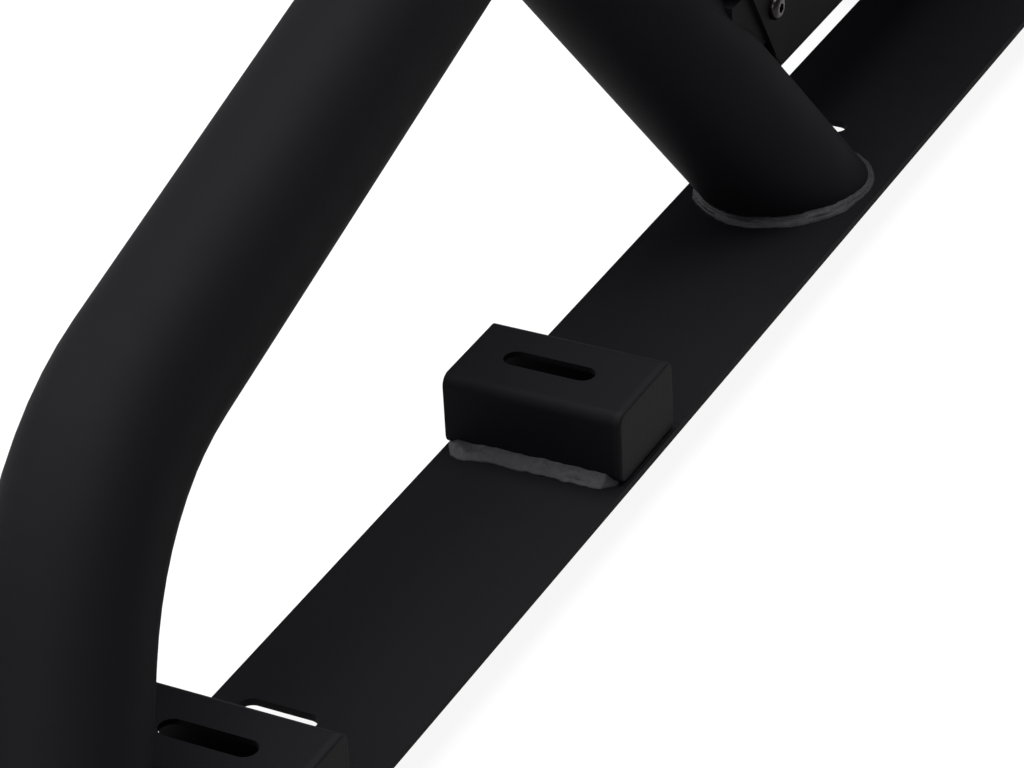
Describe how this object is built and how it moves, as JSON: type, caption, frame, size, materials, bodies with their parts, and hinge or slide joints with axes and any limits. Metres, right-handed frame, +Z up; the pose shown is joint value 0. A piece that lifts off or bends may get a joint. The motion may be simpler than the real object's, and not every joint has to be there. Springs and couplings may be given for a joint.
{
  "type": "olympic bench press",
  "caption": "Flat bench with fixed uprights, stepped bar catches, height-adjustable safety arms, plate pegs and floor strips with slotted tabs for a spotter deck",
  "frame": {"origin": "on the floor, at the middle of the bounding box's bottom face", "axes": "+Z up, +Y towards the lifter's feet, +X towards the bench's right-hand upright seen from the spotter's end"},
  "size_m": [1.63, 2.22, 1.25],
  "materials": {
    "frame_powder": "matt fine-textured black powder coat",
    "pad_vinyl": "grained black upholstery vinyl",
    "board_black": "black-stained plywood",
    "wear_plastic": "dark grey wear-resistant plastic",
    "screw_steel": "black-oxide steel, oily shine",
    "pin_steel": "plated steel with black knob",
    "peg_steel": "satin stainless",
    "foot_rubber": "matt black rubber",
    "wheel_rubber": "dark grey moulded rubber tyre and hub",
    "cap_plastic": "black moulded plastic"
  },
  "bodies": {
    "frame": {"bar_catch_l": "frame_powder", "bar_catch_r": "frame_powder", "bench_pad": "pad_vinyl", "brace_tube_l": "frame_powder", "brace_tube_r": "frame_powder", "catch_liner_l": "wear_plastic", "catch_liner_r": "wear_plastic", "cross_bolts": "screw_steel", "cross_tube": "frame_powder", "deck_tab_a_l": "frame_powder", "deck_tab_a_r": "frame_powder", "deck_tab_b_l": "frame_powder", "deck_tab_b_r": "frame_powder", "deck_tab_caps_l": "frame_powder", "deck_tab_caps_r": "frame_powder", "floor_strip_l": "frame_powder", "floor_strip_r": "frame_powder", "foot_bar": "frame_powder", "foot_bar_feet": "foot_rubber", "front_leg": "frame_powder", "pad_board": "board_black", "pad_brackets": "frame_powder", "plate_peg_high_l": "peg_steel", "plate_peg_high_r": "peg_steel", "plate_peg_low_l": "peg_steel", "plate_peg_low_r": "peg_steel", "rail_tube_l": "frame_powder", "rail_tube_r": "frame_powder", "safety_post_l": "frame_powder", "safety_post_r": "frame_powder", "side_feet_l": "foot_rubber", "side_feet_r": "foot_rubber", "spine": "frame_powder", "spine_post": "frame_powder", "tie_box_l": "frame_powder", "tie_box_r": "frame_powder", "tie_screw_l": "screw_steel", "tie_screw_r": "screw_steel", "tube_caps": "cap_plastic", "upright_cap_l": "cap_plastic", "upright_cap_r": "cap_plastic", "upright_foot_plate_l": "frame_powder", "upright_foot_plate_r": "frame_powder", "upright_l": "frame_powder", "upright_r": "frame_powder", "upright_shoe_l": "frame_powder", "upright_shoe_r": "frame_powder", "wheel_forks": "frame_powder"},
    "arm_r": {"safety_arm_r": "frame_powder", "arm_wear_strip_r": "wear_plastic", "pin_barrel_r": "pin_steel"},
    "pin_r": {"pull_pin_r": "pin_steel"},
    "transport_wheel_r": {"wheel_r": "wheel_rubber"},
    "arm_l": {"safety_arm_l": "frame_powder", "arm_wear_strip_l": "wear_plastic", "pin_barrel_l": "pin_steel"},
    "pin_l": {"pull_pin_l": "pin_steel"},
    "transport_wheel_l": {"wheel_l": "wheel_rubber"}
  },
  "joints": [
    {"name": "arm_slide_r", "type": "slide", "parent": "frame", "child": "arm_r", "axis": [0, 0, 1], "range_m": [-0.1, 0.15]},
    {"name": "pin_pull_r", "type": "slide", "parent": "arm_r", "child": "pin_r", "axis": [-1, 0, 0], "range_m": [0, 0.014]},
    {"name": "wheel_spin_r", "type": "hinge", "parent": "frame", "child": "transport_wheel_r", "pos_m": [0.215, 1.078, 0.036], "axis": [1, 0, 0], "continuous": true},
    {"name": "arm_slide_l", "type": "slide", "parent": "frame", "child": "arm_l", "axis": [0, 0, 1], "range_m": [-0.1, 0.15]},
    {"name": "pin_pull_l", "type": "slide", "parent": "arm_l", "child": "pin_l", "axis": [1, 0, 0], "range_m": [0, 0.014]},
    {"name": "wheel_spin_l", "type": "hinge", "parent": "frame", "child": "transport_wheel_l", "pos_m": [-0.215, 1.078, 0.036], "axis": [1, 0, 0], "continuous": true}
  ]
}
